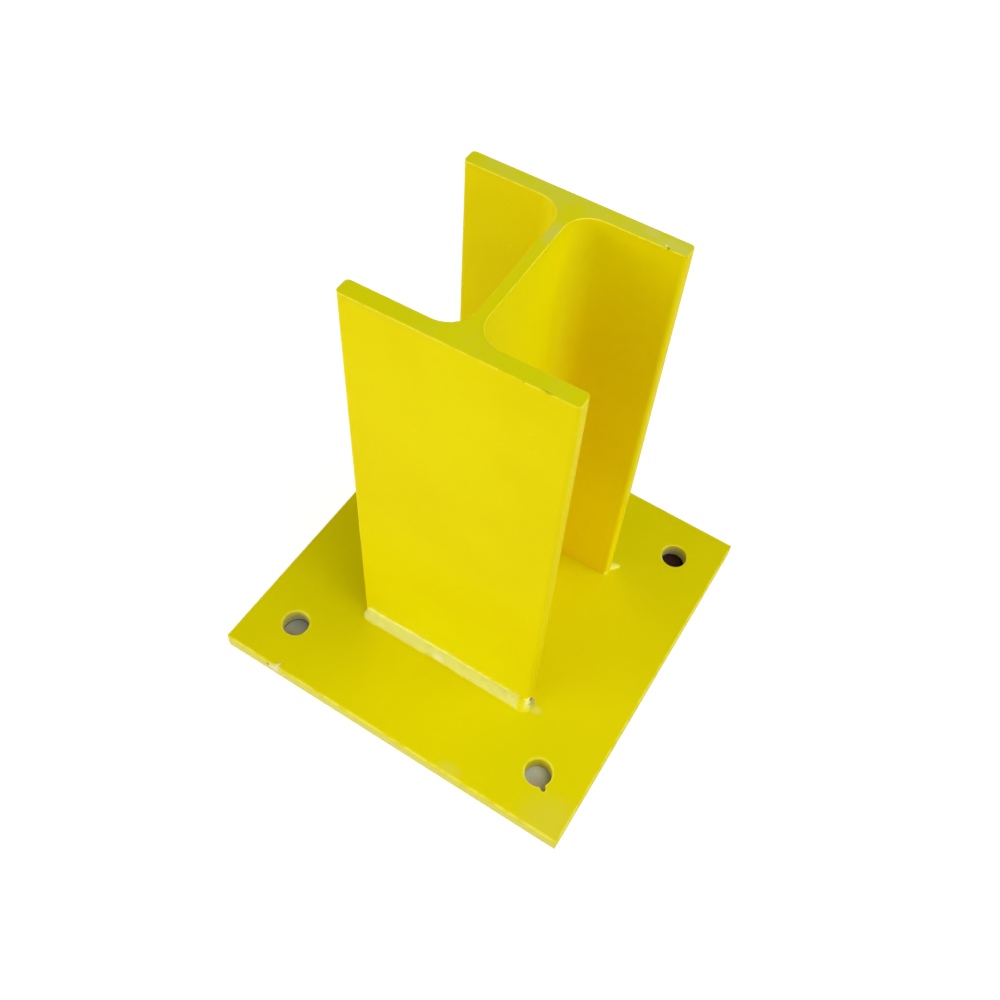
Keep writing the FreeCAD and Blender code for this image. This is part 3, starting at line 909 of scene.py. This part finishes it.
def floor_piece(top, spot):
    """A wide floor just under the plate: white to the camera, keeping the shadow, and grey
    concrete where it shows through the anchor holes, painted dark as shade under the rear right one."""
    half = HALF_FLOOR
    corners = [(-half, -half, top), (half, -half, top), (half, half, top), (-half, half, top)]
    mesh = bpy.data.meshes.new("floor")
    mesh.from_pydata(corners, [], [(0, 1, 2, 3)])
    floor = bpy.data.objects.new("floor", mesh)
    bpy.context.scene.collection.objects.link(floor)
    material, tree, surface, place = new_material("pale_floor")
    surface.inputs["Roughness"].default_value = 0.9
    surface.inputs["Specular IOR Level"].default_value = 0.0
    sides = [math_node(tree, "ABSOLUTE", split(tree, place)[axis]) for axis in "XY"]
    under = math_node(tree, "LESS_THAN", math_node(tree, "MAXIMUM", *sides),
                      HALF_PLATE - PLATE_EDGE_RADIUS)
    ground = mix_colour(tree, noise(tree, place, 160.0, 3.0), CONCRETE, CONCRETE_PALE)
    ground = patched(tree, place, spot, ground, GROUND_SPOTS)
    feed(tree, surface.inputs["Base Color"], mix_colour(tree, under, FLOOR_PALE, ground))
    lifted = times(tree, times(tree, seen_directly(tree), FLOOR_LIFT),
                   math_node(tree, "SUBTRACT", 1.0, under))
    glow = tree.nodes.new("ShaderNodeEmission")
    glow.inputs["Strength"].default_value = FLOOR_GLOW
    mix_shaders(tree, lifted, surface.outputs[0], glow.outputs[0], tree.nodes["Material Output"])
    mesh.materials.append(material)


def softbox(name, bearing, height, power):
    """A square area lamp on a sphere round the post's middle, facing it."""
    a, e = math.radians(bearing), math.radians(height)
    towards = Vector((math.sin(a) * math.cos(e), -math.cos(a) * math.cos(e), math.sin(e)))
    lamp = bpy.data.lights.new(name, "AREA")
    lamp.shape = "SQUARE"
    lamp.size = SOFTBOX_SIDE
    lamp.energy = power
    holder = bpy.data.objects.new(name, lamp)
    holder.location = Vector(SOFTBOX_TARGET) + towards * SOFTBOX_DISTANCE
    holder.rotation_euler = towards.to_track_quat("Z", "Y").to_euler()
    bpy.context.scene.collection.objects.link(holder)


def studio():
    """Soft lamps, an even sky, and white wherever the camera or a reflection sees past the floor."""
    for box in SOFTBOXES:
        softbox(*box)
    world = bpy.data.worlds.new("studio")
    bpy.context.scene.world = world
    world.use_nodes = True
    tree = world.node_tree
    sky = tree.nodes["Background"]
    sky.inputs["Strength"].default_value = WORLD_LIGHT
    white = tree.nodes.new("ShaderNodeBackground")
    for light in (sky, white):
        light.inputs["Color"].default_value = WHITE
    mix_shaders(tree, seen_directly(tree), sky.outputs[0], white.outputs[0],
                tree.nodes["World Output"])
    bpy.context.scene.view_settings.view_transform = "Standard"


def camera():
    """The photograph's viewpoint: aimed at a floor point, rolled about its own axis."""
    at, aim = Vector(CAMERA_AT), Vector(CAMERA_AIM)
    ahead = (aim - at).normalized()
    level = ahead.cross(Vector((0, 0, 1))).normalized()
    right = math.cos(CAMERA_ROLL) * level + math.sin(CAMERA_ROLL) * level.cross(ahead)
    up = right.cross(ahead)
    data = bpy.data.cameras.new("camera")
    data.lens, data.sensor_width = CAMERA_LENS, CAMERA_SENSOR
    data.shift_x, data.shift_y = CAMERA_SHIFT
    data.clip_start, data.clip_end = 0.01, 50.0
    holder = bpy.data.objects.new("camera", data)
    holder.matrix_world = Matrix.Translation(at) @ Matrix((right, up, -ahead)).transposed().to_4x4()
    bpy.context.scene.collection.objects.link(holder)
    bpy.context.scene.camera = holder


def main():
    coat, spot, saw = coat_group(), spot_group(), saw_group()
    post_paint = paint_material("post_paint", coat, spot, PAINT, PAINT_DEEP, POST_SPOTS, POST_PITS_AND_EDGE_LIGHT,
                                POST_EDGE, POST_BREAKS)
    plate_paint = paint_material("plate_paint", coat, spot, PLATE_PAINT, PLATE_DEEP, PLATE_SPOTS,
                                 PLATE_CHIPS)
    torn_paint = paint_material("torn_paint", coat, spot, TORN, TORN_DEEP)
    weld_paint = weld_material(coat, spot)
    camera()
    plate_piece([plate_paint])
    post_piece([post_paint, sawn_material(coat, spot, saw)])
    bead_piece("front_bead", "front_weld", toe_path, 0, FRONT_BEAD, [weld_paint], 3, pits=FRONT_PITS)
    bead_piece("rear_bead", "rear_weld", toe_path, 2, REAR_BEAD, [weld_paint], 5)
    bead_piece("right_web_bead", "right_web_weld", web_path, 1, WEB_BEAD, [weld_paint], 7)
    bead_piece("left_web_bead", "left_web_weld", web_path, 3, WEB_BEAD, [weld_paint], 9)
    burr_piece([torn_paint])
    floor_piece(PLATE_LOW[2] - FLOOR_GAP, spot)
    studio()


main()
